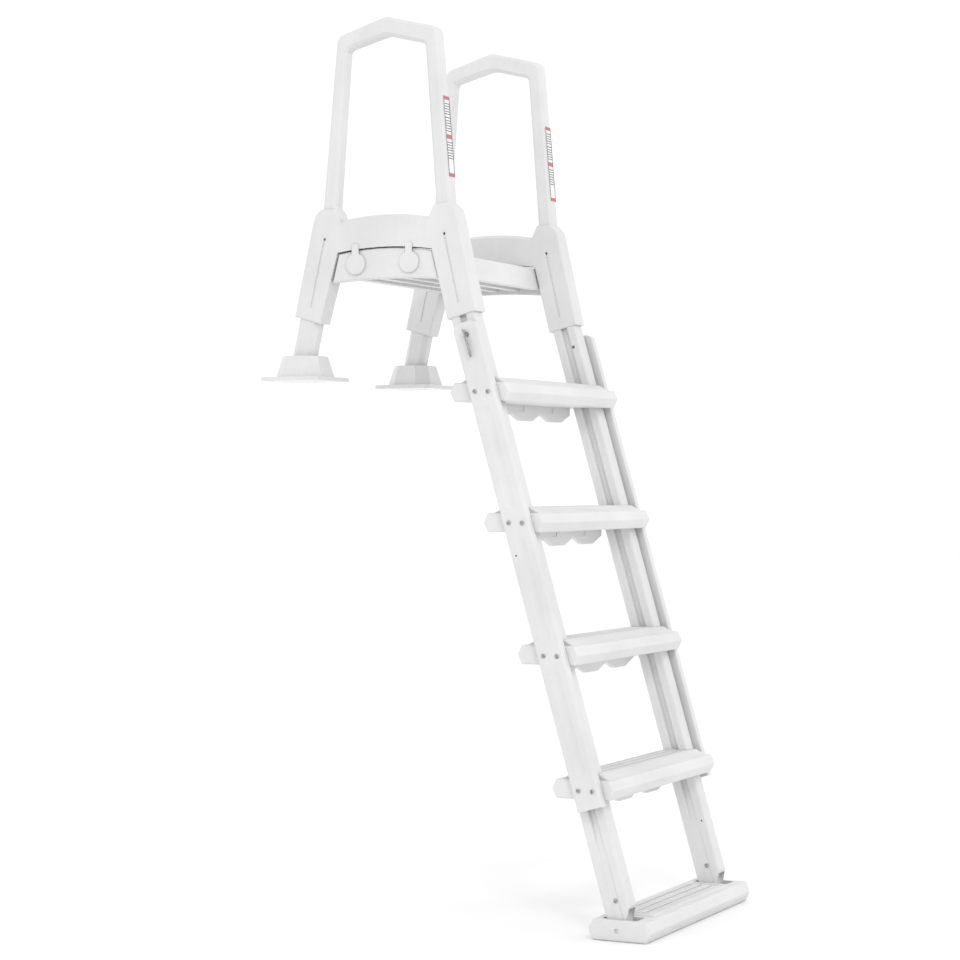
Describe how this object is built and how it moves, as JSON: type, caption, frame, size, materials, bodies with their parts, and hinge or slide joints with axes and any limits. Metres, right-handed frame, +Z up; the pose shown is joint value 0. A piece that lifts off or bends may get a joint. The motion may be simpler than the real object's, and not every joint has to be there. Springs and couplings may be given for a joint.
{
  "type": "pool ladder",
  "caption": "Plastic in-pool ladder: two looped handrails joined by a step platform, leaning stringers with a sliding set of wide treads, a floor tread and legs bolted to the deck.",
  "frame": {"origin": "centre of the ladder's plan outline, on the pool floor", "axes": "+Z up, +X across the ladder to the right side, +Y from the pool towards the deck"},
  "size_m": [0.685, 0.941, 2.0205],
  "materials": {
    "frame_plastic": "fine matte white polyethylene",
    "tread_plastic": "fine matte white polyethylene with moulded grip",
    "deck_plastic": "glossier white plastic",
    "label_film": "printed film with red bands",
    "stainless": "plain stainless steel"
  },
  "bodies": {
    "deck_feet": {"deck_leg_left": "deck_plastic", "deck_leg_right": "deck_plastic", "deck_flange_left": "deck_plastic", "deck_flange_right": "deck_plastic", "leg_screws": "stainless"},
    "upper_frame": {"handrail_left": "frame_plastic", "handrail_right": "frame_plastic", "safety_label_left": "label_film", "safety_label_right": "label_film", "top_platform": "tread_plastic", "platform_dowels_left": "stainless", "platform_dowels_right": "stainless"},
    "stringer_set": {"stringer_left": "frame_plastic", "stringer_right": "frame_plastic", "bottom_tread": "tread_plastic", "foot_screws": "stainless"},
    "tread_carriage": {"outer_rail_left": "frame_plastic", "outer_rail_right": "frame_plastic", "tread_1": "tread_plastic", "tread_2": "tread_plastic", "tread_3": "tread_plastic", "tread_4": "tread_plastic", "tread_screws_left": "stainless", "tread_screws_right": "stainless"},
    "pin_left": {"hitch_pin_left": "stainless"},
    "pin_right": {"hitch_pin_right": "stainless"},
    "clip_left": {"hairpin_clip_left": "stainless"},
    "clip_right": {"hairpin_clip_right": "stainless"},
    "turn_latch_left_rear": {"latch_left_rear": "frame_plastic"},
    "turn_latch_left_front": {"latch_left_front": "frame_plastic"},
    "turn_latch_right_rear": {"latch_right_rear": "frame_plastic"},
    "turn_latch_right_front": {"latch_right_front": "frame_plastic"}
  },
  "joints": [
    {"name": "frame_height", "type": "slide", "parent": "deck_feet", "child": "upper_frame", "axis": [0, -0.2164, 0.9763], "range_m": [0, 0.08]},
    {"name": "stringer_telescope", "type": "slide", "parent": "upper_frame", "child": "stringer_set", "axis": [0, 0.2773, 0.9608], "range_m": [0, 0.04]},
    {"name": "tread_height", "type": "slide", "parent": "upper_frame", "child": "tread_carriage", "axis": [0, 0.2773, 0.9608], "range_m": [-0.06, 0.01]},
    {"name": "pin_pull_left", "type": "slide", "parent": "tread_carriage", "child": "pin_left", "axis": [-1, 0, 0], "range_m": [0, 0.06]},
    {"name": "clip_pull_left", "type": "slide", "parent": "pin_left", "child": "clip_left", "axis": [0, -0.2773, -0.9608], "range_m": [0, 0.045]},
    {"name": "turn_left_rear", "type": "hinge", "parent": "upper_frame", "child": "turn_latch_left_rear", "pos_m": [-0.2875, 0.25072, 1.469], "axis": [1, 0, 0], "range_deg": [0, 90]},
    {"name": "turn_left_front", "type": "hinge", "parent": "upper_frame", "child": "turn_latch_left_front", "pos_m": [-0.2875, 0.11472, 1.469], "axis": [-1, 0, 0], "range_deg": [0, 90]},
    {"name": "pin_pull_right", "type": "slide", "parent": "tread_carriage", "child": "pin_right", "axis": [1, 0, 0], "range_m": [0, 0.06]},
    {"name": "clip_pull_right", "type": "slide", "parent": "pin_right", "child": "clip_right", "axis": [0, -0.2773, -0.9608], "range_m": [0, 0.045]},
    {"name": "turn_right_rear", "type": "hinge", "parent": "upper_frame", "child": "turn_latch_right_rear", "pos_m": [0.2875, 0.25072, 1.469], "axis": [1, 0, 0], "range_deg": [0, 90]},
    {"name": "turn_right_front", "type": "hinge", "parent": "upper_frame", "child": "turn_latch_right_front", "pos_m": [0.2875, 0.11472, 1.469], "axis": [-1, 0, 0], "range_deg": [0, 90]}
  ]
}
